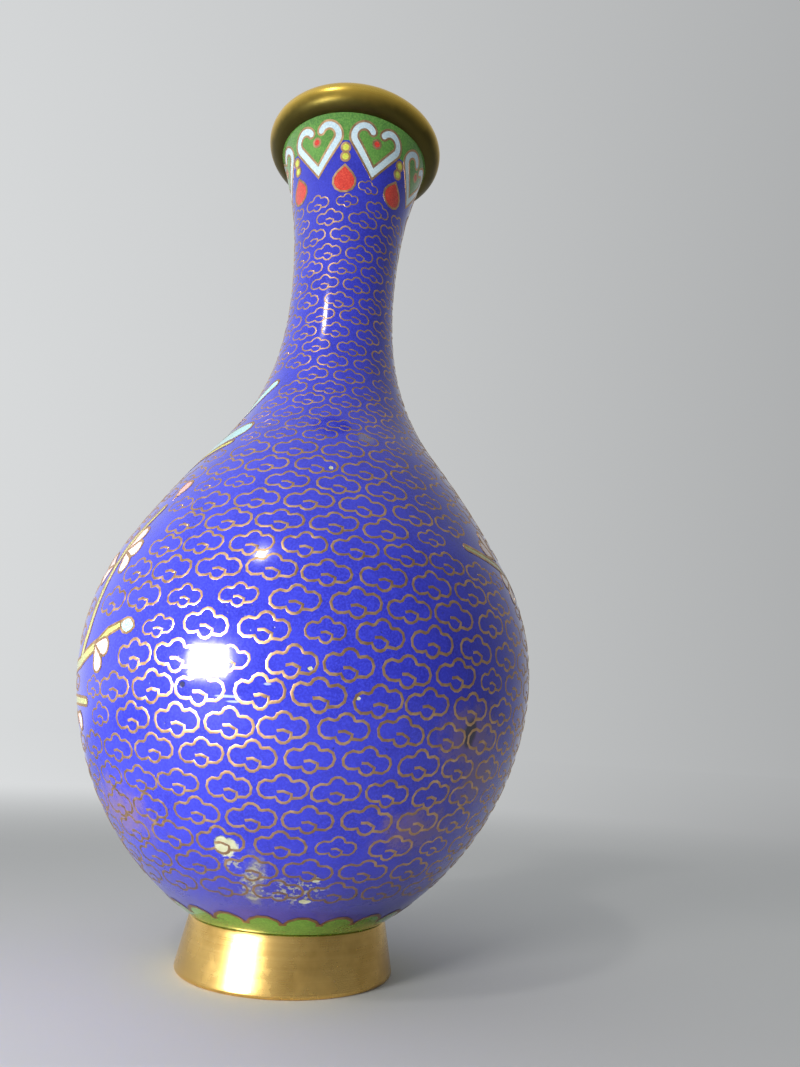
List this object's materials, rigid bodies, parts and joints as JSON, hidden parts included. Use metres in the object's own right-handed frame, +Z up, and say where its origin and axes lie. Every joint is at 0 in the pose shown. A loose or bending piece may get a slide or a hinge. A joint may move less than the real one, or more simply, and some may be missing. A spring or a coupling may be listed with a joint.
{
  "type": "cloisonne vase",
  "caption": "Bottle vase of brazed copper shells with gilt mouth and foot rings, coated in wire-cell enamel: blue ground, green collar and a flowering branch.",
  "frame": {"origin": "centre of the foot ring's bottom face, on the surface the vase stands on", "axes": "+Z up along the vase's axis; -Y towards the front, the side with no branch"},
  "size_m": [0.0966, 0.0966, 0.2],
  "materials": {
    "copper": "spun copper sheet, dull from firing",
    "gilt_brass": "gilt brass, polished on a lathe",
    "wire": "gilt copper wire, polished flush",
    "ground_blue": "polished glass enamel",
    "lining_blue": "fired counter-enamel",
    "base_blue": "fired counter-enamel",
    "leaf_green": "polished glass enamel",
    "cloud_white": "polished glass enamel",
    "coral_red": "polished glass enamel",
    "bead_yellow": "polished glass enamel",
    "twig_green": "polished glass enamel",
    "petal_pink": "polished glass enamel",
    "bud_pink": "polished glass enamel",
    "leaf_turquoise": "polished glass enamel",
    "bird_blue": "polished glass enamel"
  },
  "bodies": {
    "root": {"lower_shell": "copper", "shoulder_shell": "copper", "neck_shell": "copper", "base_plate": "copper", "foot_ring": "gilt_brass", "mouth_ring": "gilt_brass", "inner_enamel": "lining_blue", "base_enamel": "base_blue", "ground_enamel": "ground_blue", "collar_enamel": "leaf_green", "head_enamel": "cloud_white", "head_dots": "coral_red", "pendant_beads": "bead_yellow", "pendant_drops": "coral_red", "head_wires": "wire", "pendant_wires": "wire", "scallop_enamel": "leaf_green", "scallop_wire": "wire", "branch_enamel": "twig_green", "blossom_enamel": "petal_pink", "blossom_centres": "bead_yellow", "bud_enamel": "bud_pink", "leaf_enamel": "leaf_turquoise", "bird_body_enamel": "bird_blue", "bird_wing_enamel": "leaf_turquoise", "bird_tail_enamel": "leaf_turquoise", "bird_breast_enamel": "bead_yellow", "motif_wires": "wire"}
  },
  "joints": []
}
